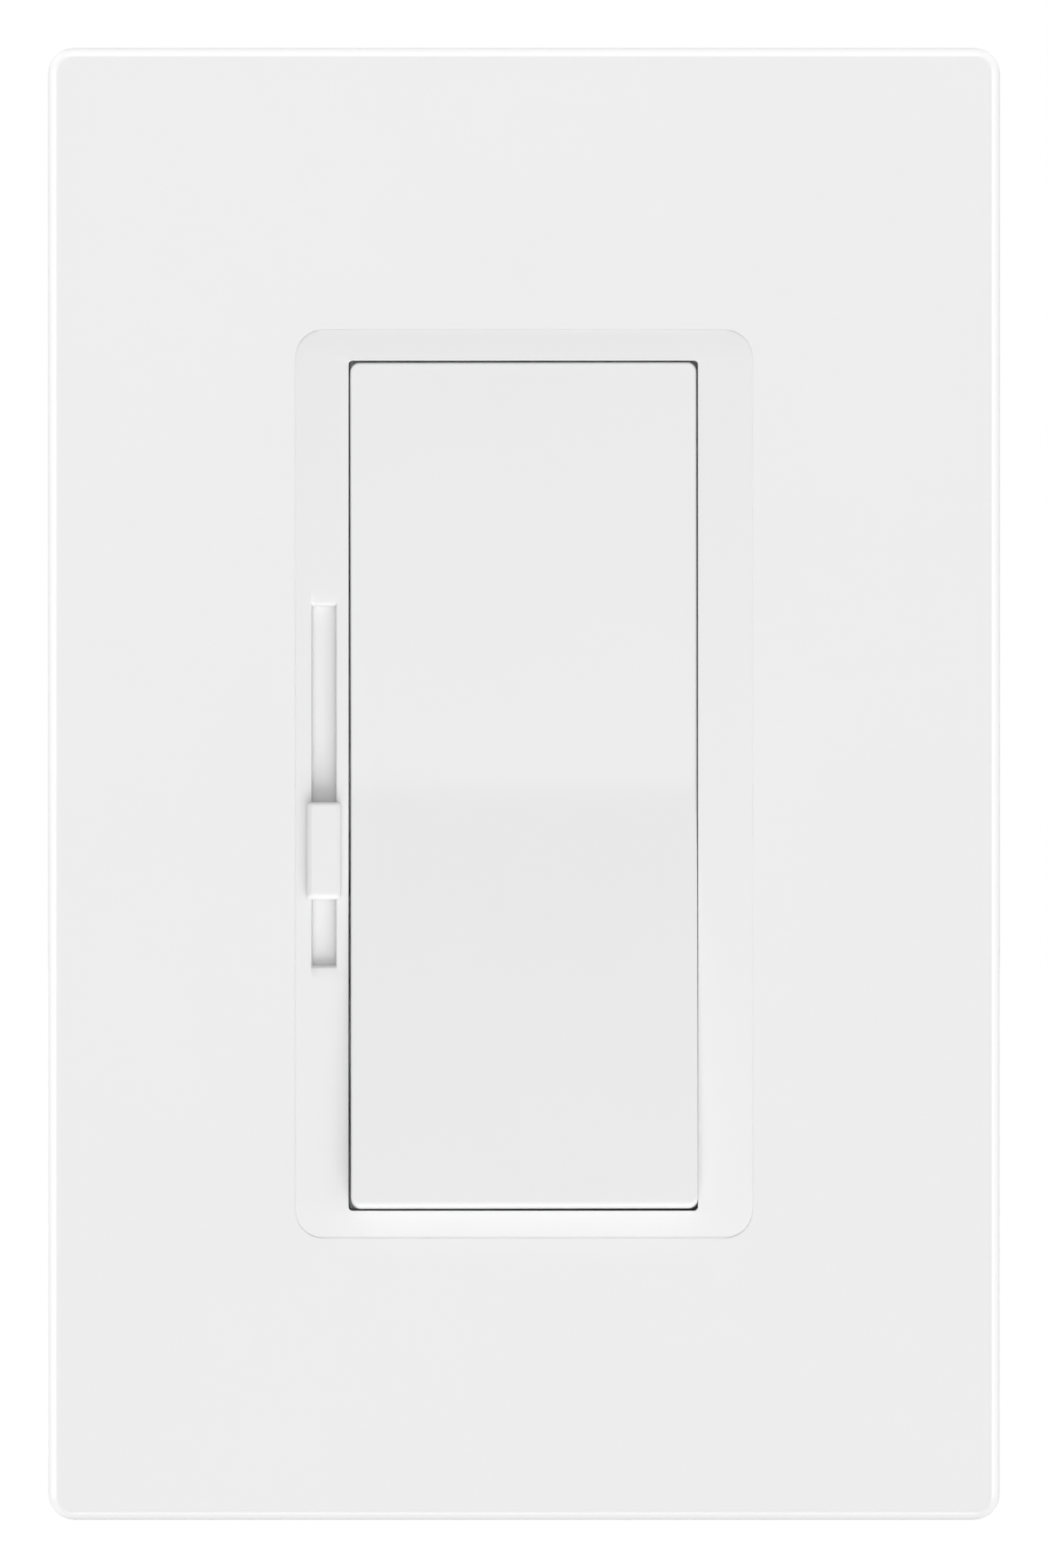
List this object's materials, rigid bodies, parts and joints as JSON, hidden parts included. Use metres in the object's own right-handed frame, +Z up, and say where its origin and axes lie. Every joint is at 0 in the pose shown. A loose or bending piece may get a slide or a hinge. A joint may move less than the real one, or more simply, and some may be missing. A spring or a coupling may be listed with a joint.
{
  "type": "wall dimmer switch",
  "caption": "Wall dimmer with a rocking paddle and a slide control beside it, in a screwless cover plate, with its strap, housing and mechanism behind.",
  "frame": {"origin": "centre of the mounting strap's back face, on the wall's plane", "axes": "+X right as seen from the room, +Y into the wall, -Y towards the room, +Z up"},
  "size_m": [0.0698, 0.0386, 0.108],
  "materials": {
    "white_face": "satin moulded",
    "white_paddle": "satin moulded",
    "white_slide": "satin moulded",
    "adapter_plastic": "matte moulded",
    "painted_screw": "white painted head",
    "steel": "machined",
    "spring_steel": "rolled",
    "strap_aluminium": "brushed sheet",
    "zinc_screw": "zinc plated",
    "fibre": "vulcanised fibre",
    "green_screw": "green plated",
    "switch_plastic": "glass filled",
    "lever_plastic": "moulded",
    "brass": "stamped",
    "silver_contact": "polished",
    "pot_can": "tin plated",
    "carbon_track": "printed carbon",
    "board_laminate": "solder mask",
    "black_epoxy": "moulded epoxy",
    "tinned_metal": "tinned",
    "thermal_film": "silicone film",
    "ferrite": "sintered",
    "enamelled_wire": "enamelled copper",
    "film_capacitor": "dipped",
    "red_capacitor": "dipped",
    "blue_ceramic": "coated",
    "resistor_body": "lacquered",
    "diac_body": "glass",
    "fish_paper": "insulating paper",
    "housing_plastic": "black moulded",
    "black_screw": "black oxide"
  },
  "bodies": {
    "device": {"cover_plate": "white_face", "plate_adapter": "adapter_plastic", "plate_screws": "zinc_screw", "front_frame": "white_face", "pot_body": "pot_can", "resistive_track": "carbon_track", "pot_pins": "tinned_metal", "mounting_strap": "strap_aluminium", "mounting_screws": "painted_screw", "screw_retainers": "fibre", "ground_screw": "green_screw", "switch_base": "switch_plastic", "lever_pin": "steel", "common_bracket": "brass", "detent_spring": "spring_steel", "fixed_contact_top": "brass", "fixed_contact_bottom": "brass", "fixed_buttons": "silver_contact", "circuit_board": "board_laminate", "triac_body": "black_epoxy", "triac_tab": "tinned_metal", "triac_leads": "tinned_metal", "thermal_pad": "thermal_film", "triac_rivet": "steel", "choke_core": "ferrite", "choke_winding": "enamelled_wire", "filter_capacitor": "film_capacitor", "snubber_capacitor": "film_capacitor", "timing_capacitor": "red_capacitor", "varistor": "blue_ceramic", "resistors": "resistor_body", "diac": "diac_body", "component_leads": "tinned_metal", "insulating_sheet": "fish_paper", "back_housing": "housing_plastic", "housing_screws": "steel", "terminal_plates": "brass", "terminal_screws": "brass", "common_screw": "black_screw"},
    "paddle": {"paddle": "white_paddle", "pivot_pins": "steel"},
    "contact_lever": {"contact_lever": "lever_plastic", "contact_bar": "brass", "moving_contacts": "silver_contact"},
    "slider": {"slider_knob": "white_slide", "slider_carrier": "white_slide", "pot_lever": "steel", "pot_wiper": "brass"}
  },
  "joints": [
    {"name": "paddle_rock", "type": "hinge", "parent": "device", "child": "paddle", "pos_m": [0, -0.0034, 0], "axis": [1, 0, 0], "range_deg": [0, 4.4], "deforming": ["detent_spring"]},
    {"name": "lever_tilt", "type": "hinge", "parent": "device", "child": "contact_lever", "pos_m": [0, 0.008, 0], "axis": [1, 0, 0], "range_deg": [-9.98, 0]},
    {"name": "dimmer_slide", "type": "slide", "parent": "device", "child": "slider", "axis": [0, 0, 1], "range_m": [-0.00482, 0.01458]}
  ],
  "couplings": [
    {"joint": "lever_tilt", "follows": "paddle_rock", "ratio": -2.2571}
  ]
}
